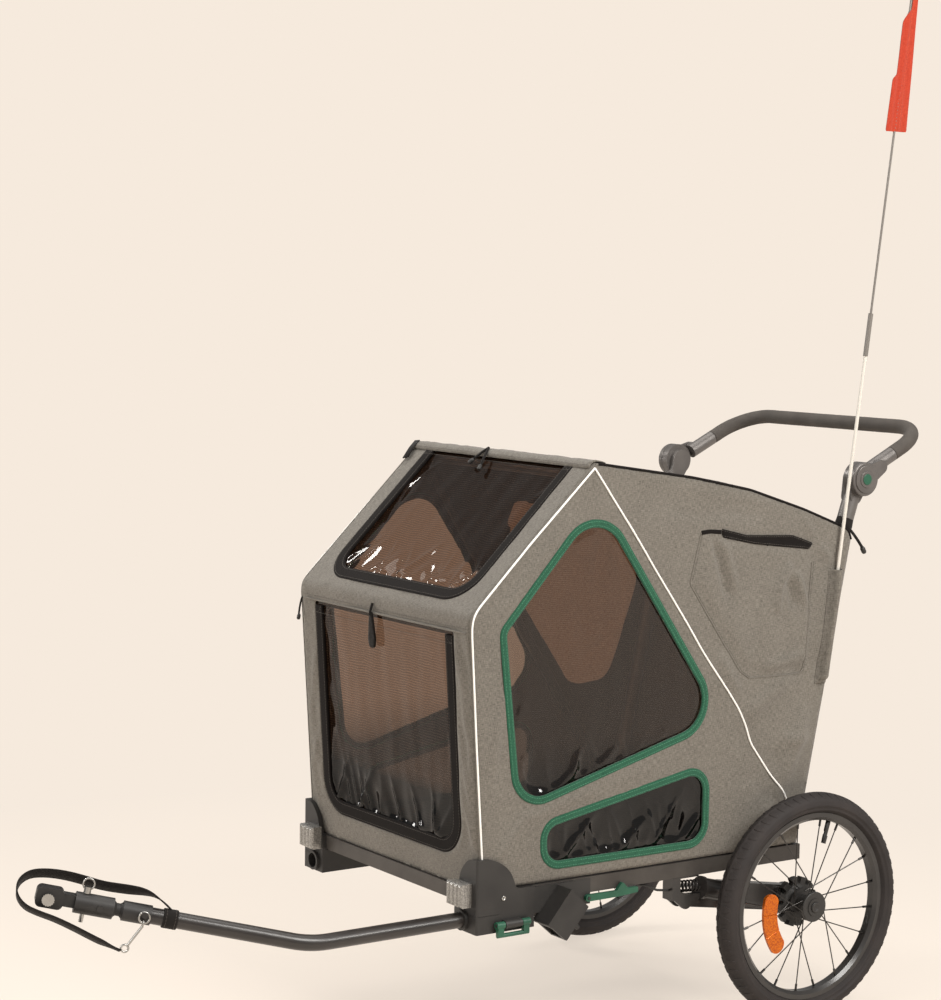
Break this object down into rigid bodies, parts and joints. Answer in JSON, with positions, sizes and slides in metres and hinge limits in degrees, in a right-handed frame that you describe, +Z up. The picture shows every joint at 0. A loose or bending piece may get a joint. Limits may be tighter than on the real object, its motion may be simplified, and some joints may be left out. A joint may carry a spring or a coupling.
{
  "type": "dog bike trailer",
  "caption": "Folding bicycle trailer for a dog: cloth cabin with clear windows and a front door on a sprung spoked-wheel chassis, with bent drawbar hitch, push handle and flag.",
  "frame": {"origin": "on the ground under the middle of the whole trailer, without the safety strap", "axes": "-Y is the front with the hitch, +X the trailer's left side with the drawbar, +Z up"},
  "size_m": [0.655, 1.6721, 1.7722],
  "materials": {
    "frame_paint": "satin",
    "black_plastic": "fine moulded grain",
    "foam_grip": "matt foam",
    "clear_reflector": "clear prismatic plastic",
    "amber_reflector": "prismatic plastic",
    "grey_cloth": "woven melange polyester",
    "black_cloth": "woven polyester",
    "green_cloth": "woven edge binding",
    "window": "clear vinyl over dark mesh",
    "green_plastic": "moulded satin",
    "tyre_rubber": "matt",
    "soft_rubber": "matt",
    "dark_steel": "black plated",
    "steel": "zinc plated",
    "white_rod": "glass fibre rod",
    "orange_cloth": "thin nylon"
  },
  "bodies": {
    "chassis": {"side_rails": "frame_paint", "front_cross_rail": "frame_paint", "rear_cross_rail": "frame_paint", "left_corner_bracket": "black_plastic", "right_corner_bracket": "black_plastic", "front_reflectors": "clear_reflector", "floor_panel": "black_plastic", "wheel_arm_socket": "black_plastic", "suspension_brackets": "frame_paint", "left_spring": "dark_steel", "right_spring": "dark_steel", "brake_cable": "soft_rubber", "left_side_panel": "grey_cloth", "right_side_panel": "grey_cloth", "front_panel": "grey_cloth", "roof_panel": "grey_cloth", "rear_panel": "grey_cloth", "window_panes": "window", "side_window_bindings": "green_cloth", "front_window_binding": "black_cloth"},
    "front_hoop": {"front_hoop": "frame_paint"},
    "front_door": {"front_door": "black_cloth", "front_door_pane": "window"},
    "apex_hoop": {"apex_hoop": "frame_paint"},
    "rear_frame": {"rear_frame": "frame_paint"},
    "push_handle": {"handle_bar": "frame_paint", "handle_grip": "foam_grip"},
    "flag": {"flag_rod": "white_rod", "flag_pennant": "orange_cloth"},
    "brake_lever": {"brake_lever": "green_plastic"},
    "drawbar": {"drawbar_tube": "frame_paint", "drawbar_ferrule": "black_plastic", "hitch_neck": "soft_rubber", "safety_strap": "black_cloth", "snap_hook": "steel"},
    "hitch": {"hitch_sleeve": "black_plastic", "hitch_head": "black_plastic", "hitch_bolt": "steel"},
    "hitch_pin": {"hitch_pin": "steel"},
    "drawbar_latch": {"drawbar_latch": "green_plastic"},
    "left_handle_button": {"left_handle_button": "green_plastic"},
    "left_arm": {"left_swing_arm": "frame_paint"},
    "left_wheel": {"left_tyre": "tyre_rubber", "left_rim": "frame_paint", "left_spokes": "dark_steel", "left_hub": "black_plastic", "left_axle": "steel", "left_wheel_reflector": "amber_reflector"},
    "left_hub_button": {"left_hub_button": "black_plastic"},
    "left_brake_pin": {"left_brake_pin": "steel"},
    "right_handle_button": {"right_handle_button": "green_plastic"},
    "right_arm": {"right_swing_arm": "frame_paint"},
    "right_wheel": {"right_tyre": "tyre_rubber", "right_rim": "frame_paint", "right_spokes": "dark_steel", "right_hub": "black_plastic", "right_axle": "steel", "right_wheel_reflector": "amber_reflector"},
    "right_hub_button": {"right_hub_button": "black_plastic"},
    "right_brake_pin": {"right_brake_pin": "steel"}
  },
  "joints": [
    {"name": "frame_fold", "type": "hinge", "parent": "chassis", "child": "rear_frame", "pos_m": [0, 0.50352, 0.352], "axis": [1, 0, 0], "range_deg": [0, 97], "deforming": ["left_side_panel", "right_side_panel", "front_panel", "roof_panel", "rear_panel", "window_panes", "side_window_bindings", "front_window_binding"]},
    {"name": "apex_hoop_fold", "type": "hinge", "parent": "chassis", "child": "apex_hoop", "pos_m": [0, 0.47152, 0.318], "axis": [1, 0, 0], "range_deg": [0, 52.8]},
    {"name": "front_hoop_fold", "type": "hinge", "parent": "chassis", "child": "front_hoop", "pos_m": [0, -0.13448, 0.306], "axis": [-1, 0, 0], "range_deg": [0, 91]},
    {"name": "front_door_swing", "type": "hinge", "parent": "front_hoop", "child": "front_door", "pos_m": [0, -0.17562, 0.7], "axis": [-1, 0, 0], "range_deg": [0, 130]},
    {"name": "handle_tilt", "type": "hinge", "parent": "rear_frame", "child": "push_handle", "pos_m": [0, 0.64152, 0.917], "axis": [-1, 0, 0], "range_deg": [-110, 60]},
    {"name": "flag_lift", "type": "slide", "parent": "rear_frame", "child": "flag", "axis": [0, 0.1342, 0.991], "range_m": [0, 0.18]},
    {"name": "brake_lever_turn", "type": "hinge", "parent": "chassis", "child": "brake_lever", "pos_m": [0.2655, 0.05902, 0.2565], "axis": [-1, 0, 0], "range_deg": [0, 25]},
    {"name": "drawbar_slide", "type": "slide", "parent": "chassis", "child": "drawbar", "axis": [0, -1, 0], "range_m": [0, 0.09]},
    {"name": "hitch_flex", "type": "hinge", "parent": "drawbar", "child": "hitch", "pos_m": [0.11966, -0.70537, 0.30786], "axis": [0.0837, 0.2025, 0.9757], "range_deg": [-20, 20], "stiffness_Nm_per_rad": 30, "deforming": ["hitch_neck", "safety_strap"]},
    {"name": "hitch_pin_lift", "type": "slide", "parent": "hitch", "child": "hitch_pin", "axis": [0.0837, 0.2025, 0.9757], "range_m": [0, 0.04]},
    {"name": "latch_swing", "type": "hinge", "parent": "chassis", "child": "drawbar_latch", "pos_m": [0.2745, -0.09548, 0.238], "axis": [0, -1, 0], "range_deg": [0, 80]},
    {"name": "left_handle_button_press", "type": "slide", "parent": "push_handle", "child": "left_handle_button", "axis": [-1, 0, 0], "range_m": [0, 0.003], "stiffness_N_per_m": 400, "springref_m": -0.003},
    {"name": "left_arm_pivot", "type": "hinge", "parent": "chassis", "child": "left_arm", "pos_m": [0.249, 0.26752, 0.222], "axis": [1, 0, 0], "range_deg": [0, 8], "stiffness_Nm_per_rad": 160, "springref_deg": -11.46, "deforming": ["left_spring"]},
    {"name": "left_wheel_spin", "type": "hinge", "parent": "left_arm", "child": "left_wheel", "pos_m": [0.304, 0.49952, 0.195], "axis": [1, 0, 0], "continuous": true},
    {"name": "left_hub_button_press", "type": "slide", "parent": "left_wheel", "child": "left_hub_button", "axis": [-1, 0, 0], "range_m": [0, 0.003], "stiffness_N_per_m": 500, "springref_m": -0.003},
    {"name": "left_brake_pin_slide", "type": "slide", "parent": "left_arm", "child": "left_brake_pin", "axis": [1, 0, 0], "range_m": [0, 0.0095]},
    {"name": "right_handle_button_press", "type": "slide", "parent": "push_handle", "child": "right_handle_button", "axis": [1, 0, 0], "range_m": [0, 0.003], "stiffness_N_per_m": 400, "springref_m": -0.003},
    {"name": "right_arm_pivot", "type": "hinge", "parent": "chassis", "child": "right_arm", "pos_m": [-0.249, 0.26752, 0.222], "axis": [1, 0, 0], "range_deg": [0, 8], "stiffness_Nm_per_rad": 160, "springref_deg": -11.46, "deforming": ["right_spring"]},
    {"name": "right_wheel_spin", "type": "hinge", "parent": "right_arm", "child": "right_wheel", "pos_m": [-0.304, 0.49952, 0.195], "axis": [1, 0, 0], "continuous": true},
    {"name": "right_hub_button_press", "type": "slide", "parent": "right_wheel", "child": "right_hub_button", "axis": [1, 0, 0], "range_m": [0, 0.003], "stiffness_N_per_m": 500, "springref_m": -0.003},
    {"name": "right_brake_pin_slide", "type": "slide", "parent": "right_arm", "child": "right_brake_pin", "axis": [-1, 0, 0], "range_m": [0, 0.0095]}
  ],
  "couplings": [
    {"joint": "apex_hoop_fold", "follows": "frame_fold", "ratio": 0.54432},
    {"joint": "front_hoop_fold", "follows": "frame_fold", "ratio": 0.93813},
    {"joint": "left_brake_pin_slide", "follows": "brake_lever_turn", "m_per_rad": 0.0206},
    {"joint": "right_brake_pin_slide", "follows": "brake_lever_turn", "m_per_rad": 0.0206}
  ]
}
